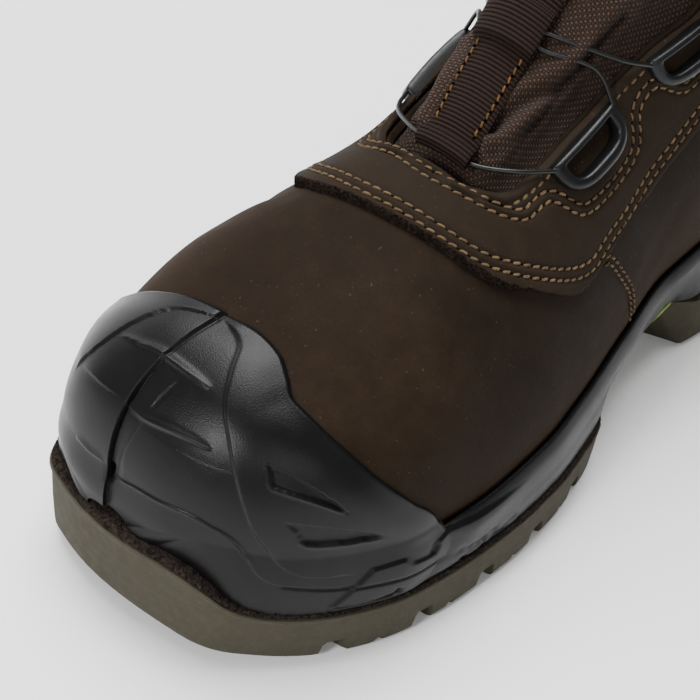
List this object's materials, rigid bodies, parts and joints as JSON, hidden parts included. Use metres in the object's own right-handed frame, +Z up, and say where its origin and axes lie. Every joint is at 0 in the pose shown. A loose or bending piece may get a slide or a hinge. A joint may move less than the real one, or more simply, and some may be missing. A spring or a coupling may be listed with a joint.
{
  "type": "safety boot",
  "caption": "Mid-cut leather safety boot with a moulded toe cover, cup midsole, lugged rubber outsole, hollow upper, padded tongue and wire lace through guides.",
  "frame": {"origin": "centre of the bounding box, on the floor under the boot", "axes": "+Z up, +Y towards the heel, -Y towards the toe, +X towards the outer side of the foot"},
  "size_m": [0.1138, 0.304, 0.1837],
  "materials": {
    "leather": "matte nubuck",
    "black_sole": "satin polyurethane",
    "olive_rubber": "matte",
    "textile": "coarse weave",
    "webbing": "ribbed weave",
    "lining": "matte",
    "guide_plastic": "semi gloss",
    "wire": "coated steel wire"
  },
  "bodies": {
    "root": {"outsole": "olive_rubber", "cup_sole_toe_cover": "black_sole", "upper": "leather", "lace_facing": "leather", "insole": "lining", "tongue": "textile", "tongue_webbing": "webbing", "lower_outer_guide": "guide_plastic", "lower_inner_guide": "guide_plastic", "upper_outer_guide": "guide_plastic", "upper_inner_guide": "guide_plastic", "lace_lower_span": "wire", "lace_cross": "wire"}
  },
  "joints": []
}
